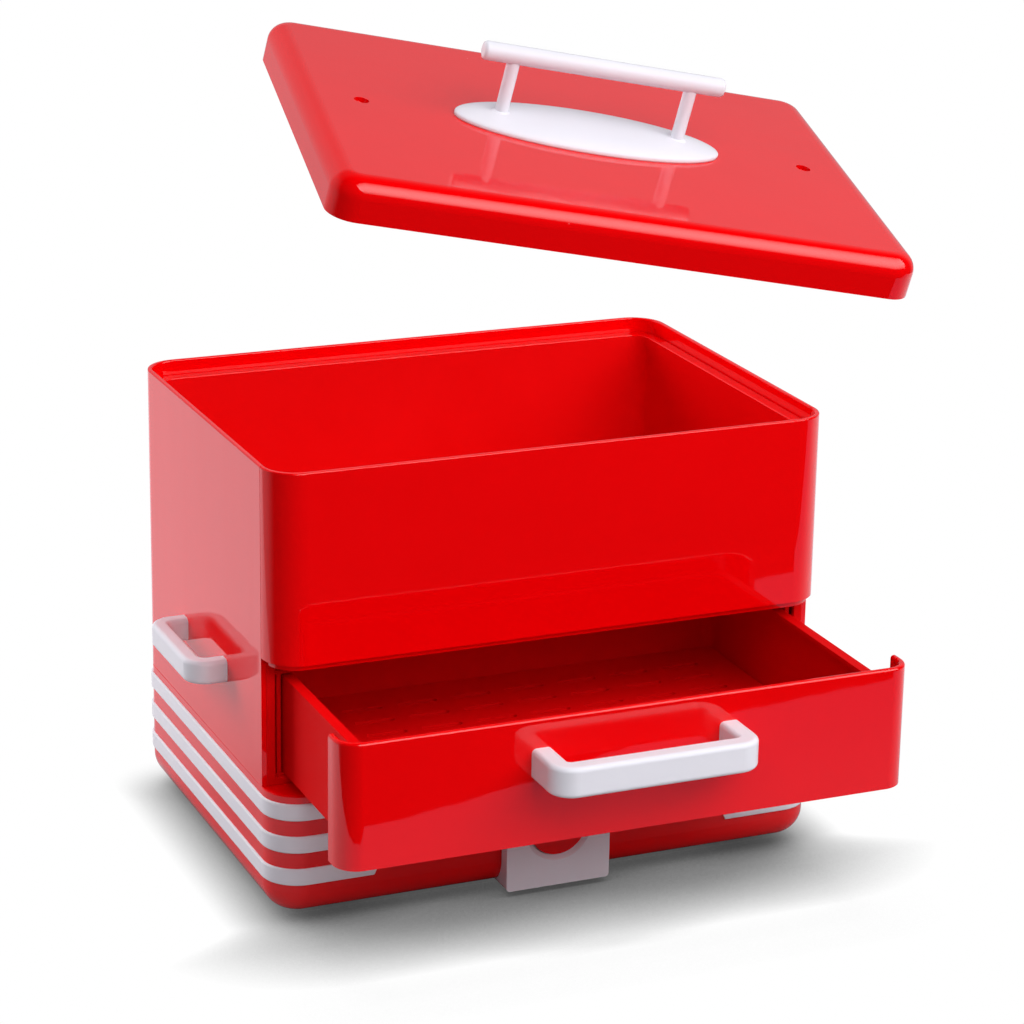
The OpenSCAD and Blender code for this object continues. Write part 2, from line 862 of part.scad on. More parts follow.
// Box with a rim round its top, a doubled front and a ledge for its grid
module drawer_box() {
    in_w = box_w - 2 * wall;
    in_l = box_l - 2 * wall;
    in_r = box_r - wall;
    mouth_shift = (box_front_rim - box_rim) / 2;
    color(red)
    drawn_out()
    difference() {
        translate([0, box_y, 0])
            difference() {
                plate(box_w, box_l, box_r, box_low, box_top - box_low);
                plate(in_w, in_l, in_r, box_low + box_rim_t, box_top - box_low - 2 * box_rim_t);
                translate([0, mouth_shift, 0])
                    plate(box_w - 2 * box_rim, box_l - box_rim - box_front_rim, in_r,
                        box_top - box_rim_t - 1, box_rim_t + 2);
                plate(in_w - 2 * box_ledge, in_l - 2 * box_ledge, in_r, box_low - 1, box_rim_t + 2);
            }
        pull_screw_holes();
    }
}

module drawer_grid() {
    grid_w = box_w - 2 * wall - 2 * drop_gap;
    grid_l = box_l - 2 * wall - 2 * drop_gap;
    color(red)
    drawn_out()
    translate([0, box_y, 0])
        slotted_grid(grid_w, grid_l, box_r - wall - drop_gap, box_low + box_rim_t);
}

module drawer_handle() {
    color(white)
    drawn_out()
    translate([0, front_y, bow_z])
        bow_handle(pull_l, pull_reach, pull_t, pull_h);
}

module drawer_handle_screws() {
    color(steel)
    drawn_out()
    pull_screw_places()
        translate([0, box_y0 + wall, 0])
            rotate([90, 0, 0])
                pan_screw(wall + front_t + screw_bite);
}

// LID, modelled on its seat and then swung off

lid_w = body_w + 2 * lid_over;
lid_d = body_d + 2 * lid_over;
lid_top = rim_z + lid_h;
post_ratio = post_span / plate_l;
seat_h = plate_t + plate_rise * sqrt(1 - post_ratio * post_ratio) + 0.5;
bar_z = lid_top + seat_h + post_h + bar_d / 2;

// Shallow cover with a rolled top edge, a flange that sits on the rim and a tapered lip inside it
module lid_shell() {
    arc_x = lid_r - lid_edge_r;
    arc_z = lid_top - lid_edge_r;
    lip_x = inner_r - drop_gap;
    lip_low = rim_z - lid_lip_h;
    lip_in = lip_x - 0.75 * lid_lip_h - wall / 2;
    color(red)
    swung_off()
    difference() {
        union() {
            around(lid_w, lid_d, lid_r) {
                union() {
                    span(lid_r - wall, lid_r, rim_z, arc_z);
                    translate([arc_x, arc_z]) mirror([0, 1]) quarter_ring(lid_edge_r, lid_edge_r - wall);
                    span(0, arc_x, lid_top - wall, lid_top);
                }
            }
            block(-lid_w / 2 + lid_r, lid_w / 2 - lid_r, -lid_d / 2 + lid_r, lid_d / 2 - lid_r,
                lid_top - wall, lid_top);
            difference() {
                plate(lid_w - wall, lid_d - wall, lid_r - wall / 2, rim_z, wall);
                plate(body_w - 2 * (corner_r - lip_in), body_d - 2 * (corner_r - lip_in), lip_in,
                    rim_z - 1, wall + 2);
            }
            around(body_w, body_d, corner_r)
                polygon([[lip_in, rim_z + eps], [lip_in, lip_low], [lip_in + wall / 2, lip_low], [lip_x, rim_z],
                    [lip_x, rim_z + eps]]);
        }
        for (s = [-1, 1]) {
            translate([s * vent_x, 0, lid_top - wall - 1]) cylinder(d = vent_d, h = wall + 2);
            translate([s * post_span / 2, 0, lid_top - wall - 1]) cylinder(d = screw_hole, h = wall + 2);
        }
    }
}

// Oval plate under the handle: a low dome on a thin rim, with a flat seat for each post
module lid_handle_plate() {
    steps = 60;
    rings = 8;
    function ring_share(k) = cos(90 * k / rings);
    function ring_z(k) = plate_t + plate_rise * sin(90 * k / rings);
    function oval(share, z) = [for (i = [0 : steps - 1])
        [share * plate_l / 2 * cos(360 * i / steps), share * plate_b / 2 * sin(360 * i / steps), z]];
    levels = concat([oval(1, 0)], [for (k = [0 : rings - 1]) oval(ring_share(k), ring_z(k))]);
    points = [for (level = levels) each level];
    sides = [for (k = [0 : rings - 1], i = [0 : steps - 1])
        [k * steps + i, (k + 1) * steps + i, (k + 1) * steps + (i + 1) % steps, k * steps + (i + 1) % steps]];
    floor_face = [for (i = [0 : steps - 1]) i];
    top_face = [for (i = [steps - 1 : -1 : 0]) rings * steps + i];
    color(white)
    swung_off()
    translate([0, 0, lid_top])
    difference() {
        union() {
            polyhedron(points, concat([floor_face, top_face], sides));
            for (s = [-1, 1]) translate([s * post_span / 2, 0, 0]) cylinder(d = post_d + 2, h = seat_h);
        }
        for (s = [-1, 1])
            translate([s * post_span / 2, 0, -1]) cylinder(d = screw_hole, h = seat_h + 2);
    }
}

module lid_post(s) {
    color(white)
    swung_off()
    translate([s * post_span / 2, 0, lid_top + seat_h])
    difference() {
        cylinder(d = post_d, h = post_h + bar_d / 4);
        translate([0, 0, -1]) cylinder(d = pilot_d, h = screw_bite + 1);
        translate([-post_d, 0, post_h + bar_d / 2])
            rotate([0, 90, 0])
                cylinder(d = bar_d, h = 2 * post_d);
    }
}

module lid_post_left() { lid_post(-1); }
module lid_post_right() { lid_post(1); }

module lid_handle_bar() {
    chamfer = 1.2;
    color(white)
    swung_off()
    translate([-bar_l / 2, 0, bar_z])
        rotate([0, 90, 0])
            rotate_extrude()
                polygon([
                    [0, 0], [bar_d / 2 - chamfer, 0], [bar_d / 2, chamfer], [bar_d / 2, bar_l - chamfer],
                    [bar_d / 2 - chamfer, bar_l], [0, bar_l]
                ]);
}

module lid_screws() {
    color(steel)
    swung_off()
    for (s = [-1, 1])
        translate([s * post_span / 2, 0, lid_top - wall])
            pan_screw(wall + seat_h + screw_bite - 1);
}

base_shell();
bottom_cover();
rubber_feet();
bottom_screws();
band_top();
band_middle();
band_low();
badge_plate();
control_knob();
knob_shaft();
thermostat();
water_tank();
heating_plate();
heating_element();
cord_gland();
housing_shell();
front_panel();
drawer_frame();
runner_left();
runner_right();
bun_bin();
bun_grid();
side_handle_left();
side_handle_right();
side_handle_screws();
drawer_front();
drawer_box();
drawer_grid();
drawer_handle();
drawer_handle_screws();
lid_shell();
lid_handle_plate();
lid_post_left();
lid_post_right();
lid_handle_bar();
lid_screws();
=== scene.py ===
"""Looks of a counter-top hot dog steamer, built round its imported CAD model. Metres, +Z up."""

import math

import bmesh
import bpy
from mathutils import Matrix, Vector


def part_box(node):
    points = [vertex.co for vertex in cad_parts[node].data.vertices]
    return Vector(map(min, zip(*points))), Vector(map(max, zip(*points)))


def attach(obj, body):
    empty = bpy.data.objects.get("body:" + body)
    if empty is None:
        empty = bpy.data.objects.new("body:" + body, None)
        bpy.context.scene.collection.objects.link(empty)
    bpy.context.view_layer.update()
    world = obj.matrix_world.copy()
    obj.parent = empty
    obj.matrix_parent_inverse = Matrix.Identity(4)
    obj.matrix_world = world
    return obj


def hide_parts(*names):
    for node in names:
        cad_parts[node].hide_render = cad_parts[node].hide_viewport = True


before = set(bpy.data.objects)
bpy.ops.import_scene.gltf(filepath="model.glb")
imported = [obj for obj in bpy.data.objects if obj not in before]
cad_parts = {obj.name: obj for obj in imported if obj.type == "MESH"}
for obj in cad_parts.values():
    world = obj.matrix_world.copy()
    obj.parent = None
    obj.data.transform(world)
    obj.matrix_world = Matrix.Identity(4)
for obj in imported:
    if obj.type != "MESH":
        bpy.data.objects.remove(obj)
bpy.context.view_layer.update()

# Camera: a long lens in front of the steamer and to its left, a little above it, turned down so
# that the bin's rim and the lid's top both show. Sensor and lens give the photograph's frame.
lens_mm = 115.4
sensor_mm = 36.0
eye = Vector((-0.6300, -1.5163, 0.7024))
yaw, pitch, roll = 0.4053, 0.3147, 0.0170

ahead = Vector((math.sin(yaw) * math.cos(pitch), math.cos(yaw) * math.cos(pitch), -math.sin(pitch)))
level = Vector((math.cos(yaw), -math.sin(yaw), 0.0))
upward = level.cross(ahead)
right = math.cos(roll) * level + math.sin(roll) * upward
up = math.cos(roll) * upward - math.sin(roll) * level

camera_data = bpy.data.cameras.new("camera")
camera_data.lens = lens_mm
camera_data.sensor_width = sensor_mm
camera = bpy.data.objects.new("camera", camera_data)
camera.matrix_world = Matrix((
    (right.x, up.x, -ahead.x, eye.x),
    (right.y, up.y, -ahead.y, eye.y),
    (right.z, up.z, -ahead.z, eye.z),
    (0, 0, 0, 1),
))
bpy.context.scene.collection.objects.link(camera)
bpy.context.scene.camera = camera
bpy.context.scene.view_settings.view_transform = "Standard"


# Table: a sheet of white laminate with a cut front edge, as in a small product studio. It throws light
# up at the steamer as painted board does. The camera sees it as white paper with a painted soft shadow,
# and the gloss as pale board with painted shade that darkens it towards the front edge.
def linear(hex_colour):
    """A colour written as sRGB hex, turned to the linear values that shaders take."""
    channels = [int(hex_colour[i:i + 2], 16) / 255 for i in (1, 3, 5)]
    return tuple(c / 12.92 if c <= 0.04045 else ((c + 0.055) / 1.055) ** 2.4 for c in channels) + (1.0,)


def add(tree, kind, settings=None, links=None):
    """Adds a node to a tree. Settings name its properties or inputs, links name what feeds an input."""
    made = tree.nodes.new(kind)
    for key, value in (settings or {}).items():
        if isinstance(key, int) or key in made.inputs:
            made.inputs[key].default_value = value
        else:
            setattr(made, key, value)
    for key, source in (links or {}).items():
        tree.links.new(source, made.inputs[key])
    return made


def blank(name):
    """A new material and its empty node tree."""
    made = bpy.data.materials.new(name)
    made.use_nodes = True
    made.node_tree.nodes.clear()
    return made, made.node_tree


mm = 0.001
table_edge = [
    (-0.60, 0.50), (-0.56, 0.30), (-0.527, 0.127), (-0.48, -0.05), (-0.42, -0.18), (-0.35, -0.28),
    (-0.28, -0.345), (-0.20, -0.385), (-0.12, -0.396), (-0.045, -0.404), (-0.025, -0.409),
    (0.0, -0.415), (0.018, -0.421), (0.05, -0.428), (0.10, -0.450), (0.188, -0.48), (0.40, -0.51),
    (0.80, -0.52), (1.2, -0.53), (1.2, 1.1), (-0.70, 1.1),
]
reach_in_front = 75 * mm
reach_beside = 27 * mm
front_ends, side_starts = -0.135, -0.100
shade_reach = 300 * mm
sky_rays = 12
light_back, light_up = 0.75, 0.66
shadow_power, shade_power = 1.8, 2.0
shade_front_y, shade_back_y = -0.50, 0.0

table_mesh = bpy.data.meshes.new("table")
table_mesh.from_pydata([(x, y, 0.0) for x, y in table_edge], [], [list(range(len(table_edge)))])
table = bpy.data.objects.new("table", table_mesh)
bpy.context.scene.collection.objects.link(table)

laminate, tree = blank("white_laminate_board")
path = add(tree, "ShaderNodeLightPath")
seen = add(tree, "ShaderNodeMath", {"operation": "MAXIMUM"},
           {0: path.outputs["Is Camera Ray"], 1: path.outputs["Is Glossy Ray"]})
seen = add(tree, "ShaderNodeMath", {"operation": "MAXIMUM"},
           {0: seen.outputs[0], 1: path.outputs["Is Transmission Ray"]})
where = add(tree, "ShaderNodeTexCoord")
axes = add(tree, "ShaderNodeSeparateXYZ", None, {0: where.outputs["Object"]})
# Painted shadow: the paper seen by the camera darkens where a point sees little sky leaning towards the lamps,
# further in front of the base than beside it.
reach = add(tree, "ShaderNodeMapRange",
            {"interpolation_type": "SMOOTHSTEP", "From Min": front_ends, "From Max": side_starts,
             "To Min": reach_in_front, "To Max": reach_beside}, {"Value": axes.outputs["Y"]})
towards_light = add(tree, "ShaderNodeCombineXYZ", {0: 0.0, 1: light_back, 2: light_up})
open_sky = add(tree, "ShaderNodeAmbientOcclusion", {"samples": sky_rays},
               {"Distance": reach.outputs[0], "Normal": towards_light.outputs[0]})
shadow = add(tree, "ShaderNodeMath", {"operation": "POWER", 1: shadow_power}, {0: open_sky.outputs["AO"]})
wide_sky = add(tree, "ShaderNodeAmbientOcclusion", {"samples": sky_rays, "Distance": shade_reach})
shade = add(tree, "ShaderNodeMath", {"operation": "POWER", 1: shade_power}, {0: wide_sky.outputs["AO"]})
# Painted shade: in gloss the board runs from bluish grey at the front to white at the back, darkened more where
# the object hides the sky.
back = add(tree, "ShaderNodeMapRange",
           {"interpolation_type": "SMOOTHSTEP", "From Min": shade_front_y, "From Max": shade_back_y},
           {"Value": axes.outputs["Y"]})
board_painted_shade = add(tree, "ShaderNodeMix", {"data_type": "RGBA", 6: linear("#9C98B8"), 7: linear("#FFF8FF")},
            {0: back.outputs[0]})
shaded_board_in_gloss = add(tree, "ShaderNodeEmission", None,
                     {"Color": board_painted_shade.outputs[2], "Strength": shade.outputs[0]})
paper = add(tree, "ShaderNodeEmission", None, {"Strength": shadow.outputs[0]})
paper = add(tree, "ShaderNodeMixShader", None,
            {0: path.outputs["Is Glossy Ray"], 1: paper.outputs[0], 2: shaded_board_in_gloss.outputs[0]})
paint = add(tree, "ShaderNodeBsdfDiffuse", {"Color": linear("#B0B0B0")})
shown = add(tree, "ShaderNodeMixShader", None,
            {0: seen.outputs[0], 1: paint.outputs[0], 2: paper.outputs[0]})
add(tree, "ShaderNodeOutputMaterial", None, {"Surface": shown.outputs[0]})
table_mesh.materials.append(laminate)

# Studio: plain soft light from overhead, a white wall behind that fades upwards for the gloss to show,
# one wide soft box over the front right corner, one behind on the left and a weak one beside the camera.
# The wide one shows in the gloss, so its cloth is brighter along the middle, as over a row of tubes.
wall_starts, wall_full = -0.05, 0.5
wall_dim, wall_bright = 0.03, 0.46
wall_fades, wall_faded, wall_top = 0.45, 0.85, 0.30
fill_full = 0.6
fill_low, fill_high = 0.08, 0.29
studio_white = linear("#FCF8FF")
middle_gain = 1.5

world = bpy.data.worlds.new("studio")
bpy.context.scene.world = world
world.use_nodes = True
tree = world.node_tree
tree.nodes.clear()
path = add(tree, "ShaderNodeLightPath")
where = add(tree, "ShaderNodeTexCoord")
axes = add(tree, "ShaderNodeSeparateXYZ", None, {0: where.outputs["Generated"]})
behind = add(tree, "ShaderNodeMapRange",
             {"interpolation_type": "SMOOTHSTEP", "From Min": wall_starts, "From Max": wall_full,
              "To Min": wall_dim, "To Max": wall_bright}, {"Value": axes.outputs["Y"]})
rising = add(tree, "ShaderNodeMapRange",
             {"interpolation_type": "SMOOTHSTEP", "From Min": wall_fades, "From Max": wall_faded,
              "To Min": 1.0, "To Max": wall_top}, {"Value": axes.outputs["Z"]})
wall = add(tree, "ShaderNodeMath", {"operation": "MULTIPLY"}, {0: behind.outputs[0], 1: rising.outputs[0]})
in_gloss = add(tree, "ShaderNodeMath", {"operation": "MAXIMUM"},
               {0: path.outputs["Is Glossy Ray"], 1: path.outputs["Is Transmission Ray"]})
overhead = add(tree, "ShaderNodeMapRange",
               {"interpolation_type": "SMOOTHSTEP", "From Min": 0.0, "From Max": fill_full,
                "To Min": fill_low, "To Max": fill_high}, {"Value": axes.outputs["Z"]})
fill = add(tree, "ShaderNodeBackground", {"Color": studio_white}, {"Strength": overhead.outputs[0]})
white_wall = add(tree, "ShaderNodeBackground", {"Color": studio_white}, {"Strength": wall.outputs[0]})
white_paper = add(tree, "ShaderNodeBackground", {"Color": linear("#FFFFFF"), "Strength": 1.0})
room = add(tree, "ShaderNodeMixShader", None,
           {0: in_gloss.outputs[0], 1: fill.outputs[0], 2: white_wall.outputs[0]})
room = add(tree, "ShaderNodeMixShader", None,
           {0: path.outputs["Is Camera Ray"], 1: room.outputs[0], 2: white_paper.outputs[0]})
add(tree, "ShaderNodeOutputWorld", None, {"Surface": room.outputs[0]})

for name, place, aim, wide, tall, watts, shows in (
    ("soft_box_front_right", (0.72, -1.20, 1.27), (0.05, 0.0, 0.25), 2.20, 1.70, 32.0, True),
    ("soft_box_camera", (-0.55, -1.25, 1.35), (0.0, 0.0, 0.15), 1.20, 1.20, 7.0, False),
    ("soft_box_left", (-1.00, 1.45, 0.65), (0.0, 0.0, 0.15), 1.10, 1.10, 34.0, False),
):
    lamp_data = bpy.data.lights.new(name, "AREA")
    lamp_data.shape = "RECTANGLE"
    lamp_data.size = wide
    lamp_data.size_y = tall
    lamp_data.energy = watts
    lamp = bpy.data.objects.new(name, lamp_data)
    lamp.location = place
    lamp.rotation_mode = "QUATERNION"
    lamp.rotation_quaternion = (Vector(aim) - Vector(place)).to_track_quat("-Z", "Y")
    lamp.visible_glossy = shows
    bpy.context.scene.collection.objects.link(lamp)
    if shows:
        lamp_data.use_nodes = True
        tree = lamp_data.node_tree
        tree.nodes.clear()
        sheet = add(tree, "ShaderNodeNewGeometry")
        axes = add(tree, "ShaderNodeSeparateXYZ", None, {0: sheet.outputs["Parametric"]})
        height = add(tree, "ShaderNodeMapRange", {"To Min": -1.0, "To Max": 1.0}, {"Value": axes.outputs["Y"]})
        off_middle = add(tree, "ShaderNodeMath", {"operation": "POWER", 1: 2.0}, {0: height.outputs[0]})
        glow = add(tree, "ShaderNodeMapRange", {"To Min": middle_gain, "To Max": 0.0},
                   {"Value": off_middle.outputs[0]})
        cloth = add(tree, "ShaderNodeEmission", None, {"Strength": glow.outputs[0]})
        add(tree, "ShaderNodeOutputLight", None, {"Surface": cloth.outputs[0]})


# Base: one deep moulding in red ABS, rolled under at the bottom, with a deck on top for the tank.
# It comes out of a polished mould, so it is glossy and shows only faint flow waves and some dust.
def dress(material, *names):
    """Gives CAD nodes a material in place of their packed one."""
    for name in names:
        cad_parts[name].data.materials.clear()
        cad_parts[name].data.materials.append(material)


# ABS straight from a polished mould: saturated red under a clear gloss. Long waves of about 18 mm run up
# the walls and bend reflections a hair; dust specks are 0.7 mm across, drawn coarse so that they show.
wave_width = 18 * mm
wave_depth = 0.08 * mm
wave_run = (1.0, 1.0, 0.08)
handled_width = 35 * mm
handled_least, handled_most = 0.35, 0.75
clear_gloss, handled_gloss = 0.02, 0.04
dust_spacing = 14 * mm
speck_core, speck_rim = 0.252 * mm, 0.420 * mm
clean_share, dusty_share = 0.80, 0.82
speck_strength = 0.22

red_abs, tree = blank("moulded_red_abs_gloss")
where = add(tree, "ShaderNodeTexCoord")
drawn_up = add(tree, "ShaderNodeMapping", {"Scale": wave_run}, {"Vector": where.outputs["Object"]})
flow = add(tree, "ShaderNodeTexNoise", {"Scale": 1 / wave_width, "Detail": 1.0},
           {"Vector": drawn_up.outputs[0]})
handled = add(tree, "ShaderNodeTexNoise", {"Scale": 1 / handled_width, "Detail": 3.0},
              {"Vector": where.outputs["Object"]})
body_red = add(tree, "ShaderNodeMix", {"data_type": "RGBA", 6: linear("#EB0003"), 7: linear("#F10005")},
               {0: handled.outputs["Fac"]})
dust = add(tree, "ShaderNodeTexVoronoi", {"Scale": 1 / dust_spacing}, {"Vector": where.outputs["Object"]})
speck = add(tree, "ShaderNodeMapRange",
            {"From Min": speck_core / dust_spacing, "From Max": speck_rim / dust_spacing,
             "To Min": 1.0, "To Max": 0.0}, {"Value": dust.outputs["Distance"]})
chosen = add(tree, "ShaderNodeMapRange",
             {"From Min": clean_share, "From Max": dusty_share, "To Max": speck_strength},
             {"Value": dust.outputs["Color"]})
speck = add(tree, "ShaderNodeMath", {"operation": "MULTIPLY"}, {0: speck.outputs[0], 1: chosen.outputs[0]})
dusty = add(tree, "ShaderNodeMix", {"data_type": "RGBA", 7: linear("#F3C9CC")},
            {0: speck.outputs[0], 6: body_red.outputs[2]})
gloss = add(tree, "ShaderNodeMapRange",
            {"From Min": handled_least, "From Max": handled_most,
             "To Min": clear_gloss, "To Max": handled_gloss}, {"Value": handled.outputs["Fac"]})
waves = add(tree, "ShaderNodeBump", {"Strength": 1.0, "Distance": wave_depth}, {"Height": flow.outputs["Fac"]})
plastic = add(tree, "ShaderNodeBsdfPrincipled", {"IOR": 1.54},
              {"Base Color": dusty.outputs[2], "Roughness": gloss.outputs[0], "Normal": waves.outputs[0]})
add(tree, "ShaderNodeOutputMaterial", None, {"Surface": plastic.outputs[0]})
dress(red_abs, "base_shell")

# Underside: a slotted cover under the base, a bush for the mains lead in the back, and the thermostat.
# All are black polypropylene; the cover is screwed on and the bush is pushed into its hole.
# From a sparked mould it is matt with a grain of about 0.6 mm, drawn at 1.2 mm to show.
spark_grain = 1.2 * mm
spark_depth = 0.05 * mm
black_pp, tree = blank("moulded_black_polypropylene")
where = add(tree, "ShaderNodeTexCoord")
grain = add(tree, "ShaderNodeTexNoise", {"Scale": 1 / spark_grain, "Detail": 2.0},
            {"Vector": where.outputs["Object"]})
shade = add(tree, "ShaderNodeMix", {"data_type": "RGBA", 6: linear("#1B1B1D"), 7: linear("#26262A")},
            {0: grain.outputs["Fac"]})
bump = add(tree, "ShaderNodeBump", {"Strength": 0.6, "Distance": spark_depth}, {"Height": grain.outputs["Fac"]})
plastic = add(tree, "ShaderNodeBsdfPrincipled", {"IOR": 1.49, "Roughness": 0.55},
              {"Base Color": shade.outputs[2], "Normal": bump.outputs[0]})
add(tree, "ShaderNodeOutputMaterial", None, {"Surface": plastic.outputs[0]})
dress(black_pp, "bottom_cover", "cord_gland", "thermostat")

# Feet: four pads of natural rubber, each held by a headed stem that is pulled through the cover.
# Pressed in a dull mould, the rubber is almost black with a soft sheen and a mottle of 2 mm.
rubber_mottle = 2.0 * mm
rubber_depth = 0.04 * mm
rubber, tree = blank("pressed_black_rubber")
where = add(tree, "ShaderNodeTexCoord")
grain = add(tree, "ShaderNodeTexNoise", {"Scale": 1 / rubber_mottle, "Detail": 3.0},
            {"Vector": where.outputs["Object"]})
shade = add(tree, "ShaderNodeMix", {"data_type": "RGBA", 6: linear("#141415"), 7: linear("#29292B")},
            {0: grain.outputs["Fac"]})
bump = add(tree, "ShaderNodeBump", {"Strength": 0.5, "Distance": rubber_depth},
           {"Height": grain.outputs["Fac"]})
pad = add(tree, "ShaderNodeBsdfPrincipled", {"IOR": 1.52, "Roughness": 0.75},
          {"Base Color": shade.outputs[2], "Normal": bump.outputs[0]})
add(tree, "ShaderNodeOutputMaterial", None, {"Surface": pad.outputs[0]})
dress(rubber, "rubber_feet")

# Screws and dial shaft: turned steel, zinc plated. The screws hold the cover, the handles and the lid's
# plate from inside. The bath leaves a bright grey with a mottle of about 1.5 mm.
zinc_mottle = 1.5 * mm
zinc, tree = blank("zinc_plated_steel")
where = add(tree, "ShaderNodeTexCoord")
mottle = add(tree, "ShaderNodeTexNoise", {"Scale": 1 / zinc_mottle, "Detail": 2.0},
             {"Vector": where.outputs["Object"]})
shade = add(tree, "ShaderNodeMix", {"data_type": "RGBA", 6: linear("#B9BCC0"), 7: linear("#D3D5D6")},
            {0: mottle.outputs["Fac"]})
dull = add(tree, "ShaderNodeMapRange", {"To Min": 0.25, "To Max": 0.42}, {"Value": mottle.outputs["Fac"]})
metal = add(tree, "ShaderNodeBsdfPrincipled", {"Metallic": 1.0},
            {"Base Color": shade.outputs[2], "Roughness": dull.outputs[0]})
add(tree, "ShaderNodeOutputMaterial", None, {"Surface": metal.outputs[0]})
dress(zinc, "bottom_screws", "side_handle_screws", "drawer_handle_screws", "lid_screws", "knob_shaft")

# Tank: a basin deep drawn from stainless sheet, hung by its flange in the base's deck. The press leaves
# fine lines round it, about 0.8 mm apart, that streak its shine.
draw_lines = 0.8 * mm
draw_depth = 0.02 * mm
draw_run = (0.03, 0.03, 1.0)
stainless, tree = blank("drawn_stainless_sheet")
where = add(tree, "ShaderNodeTexCoord")
squeezed = add(tree, "ShaderNodeMapping", {"Scale": draw_run}, {"Vector": where.outputs["Object"]})
lines = add(tree, "ShaderNodeTexNoise", {"Scale": 1 / draw_lines, "Detail": 2.0},
            {"Vector": squeezed.outputs[0]})
shade = add(tree, "ShaderNodeMix", {"data_type": "RGBA", 6: linear("#C3C2BF"), 7: linear("#D8D7D4")},
            {0: lines.outputs["Fac"]})
dull = add(tree, "ShaderNodeMapRange", {"To Min": 0.22, "To Max": 0.38}, {"Value": lines.outputs["Fac"]})
bump = add(tree, "ShaderNodeBump", {"Strength": 0.4, "Distance": draw_depth}, {"Height": lines.outputs["Fac"]})
metal = add(tree, "ShaderNodeBsdfPrincipled", {"Metallic": 1.0},
            {"Base Color": shade.outputs[2], "Roughness": dull.outputs[0], "Normal": bump.outputs[0]})
add(tree, "ShaderNodeOutputMaterial", None, {"Surface": metal.outputs[0]})
dress(stainless, "water_tank")

# Heater: a cast aluminium plate whose rim lies on the tank's floor, with a ring element under it.
# Sand-cast aluminium is pale grey and dull, with a skin of 1.4 mm grains.
sand_grain = 1.4 * mm
sand_depth = 0.08 * mm
cast_aluminium, tree = blank("cast_aluminium")
where = add(tree, "ShaderNodeTexCoord")
grain = add(tree, "ShaderNodeTexNoise", {"Scale": 1 / sand_grain, "Detail": 3.0},
            {"Vector": where.outputs["Object"]})
shade = add(tree, "ShaderNodeMix", {"data_type": "RGBA", 6: linear("#A9ABAD"), 7: linear("#C2C4C6")},
            {0: grain.outputs["Fac"]})
bump = add(tree, "ShaderNodeBump", {"Strength": 0.8, "Distance": sand_depth}, {"Height": grain.outputs["Fac"]})
metal = add(tree, "ShaderNodeBsdfPrincipled", {"Metallic": 1.0, "Roughness": 0.5},
            {"Base Color": shade.outputs[2], "Normal": bump.outputs[0]})
add(tree, "ShaderNodeOutputMaterial", None, {"Surface": metal.outputs[0]})
dress(cast_aluminium, "heating_plate", "heating_element")


# Bands and badge: white ABS mouldings clipped round the base, and a plain block round the dial.
# White ABS from a polished mould: cool white, soft gloss, with a slow swell of 25 mm and a faint 3 mm grain.
def eased(piece_name, node, width, body, material, reshape=None):
    """A node's own form, reshaped where asked, with its sharp edges rounded by the given width."""
    same_point = 1e-6
    flat_angle, round_angle, crease_angle = (math.radians(a) for a in (0.3, 40, 35))
    form = bmesh.new()
    form.from_mesh(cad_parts[node].data)
    bmesh.ops.remove_doubles(form, verts=form.verts, dist=same_point)
    for point in form.verts if reshape else ():
        point.co = reshape(point.co)
    bmesh.ops.dissolve_limit(form, angle_limit=flat_angle, verts=form.verts, edges=form.edges)
    sharp = [e for e in form.edges if len(e.link_faces) == 2 and e.calc_face_angle(0.0) > round_angle]
    bmesh.ops.bevel(form, geom=sharp, offset=width, segments=3, profile=0.5, affect="EDGES", clamp_overlap=True)
    bmesh.ops.dissolve_degenerate(form, dist=same_point, edges=form.edges)
    for face in form.faces:
        face.smooth = True
        face.material_index = 0
    for edge in form.edges:
        edge.smooth = edge.calc_face_angle(0.0) < crease_angle
    mesh = bpy.data.meshes.new(piece_name)
    form.to_mesh(mesh)
    form.free()
    mesh.materials.append(material)
    piece = bpy.data.objects.new(piece_name, mesh)
    bpy.context.scene.collection.objects.link(piece)
    piece.modifiers.new("even_normals", "WEIGHTED_NORMAL").keep_sharp = True
    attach(piece, body)
    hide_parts(node)
    return piece


badge_easing = 0.6 * mm
swell_width = 25 * mm
white_grain = 3.0 * mm
white_depth = 0.015 * mm
white_abs, tree = blank("moulded_white_abs")
where = add(tree, "ShaderNodeTexCoord")
swell = add(tree, "ShaderNodeTexNoise", {"Scale": 1 / swell_width, "Detail": 0.0},
            {"Vector": where.outputs["Object"]})
grain = add(tree, "ShaderNodeTexNoise", {"Scale": 1 / white_grain, "Detail": 0.0},
            {"Vector": where.outputs["Object"]})
shade = add(tree, "ShaderNodeMix", {"data_type": "RGBA", 6: linear("#E8E7EF"), 7: linear("#EBEAF2")},
            {0: swell.outputs["Fac"]})
dull = add(tree, "ShaderNodeMapRange", {"To Min": 0.20, "To Max": 0.25}, {"Value": swell.outputs["Fac"]})
bump = add(tree, "ShaderNodeBump", {"Strength": 0.3, "Distance": white_depth}, {"Height": grain.outputs["Fac"]})
plastic = add(tree, "ShaderNodeBsdfPrincipled", {"IOR": 1.54, "Specular IOR Level": 0.15},
              {"Base Color": shade.outputs[2], "Roughness": dull.outputs[0], "Normal": bump.outputs[0]})
add(tree, "ShaderNodeOutputMaterial", None, {"Surface": plastic.outputs[0]})
dress(white_abs, "band_top", "band_middle", "band_low")
eased("badge_block", "badge_plate", badge_easing, "stand", white_abs)

# Dial: a glossy red ABS knob in the badge's round recess, with a bar across it to grip.
# It is pressed on the thermostat's shaft and turns with it.
knob_easing = 0.5 * mm
eased("dial_knob", "control_knob", knob_easing, "dial", red_abs)

# Housing and hood: two glossy red ABS shells that meet at a fine seam behind the front corners.
# The hood is the deep front over the drawer; both are screwed to the base from inside.
dress(red_abs, "housing_shell", "front_panel")

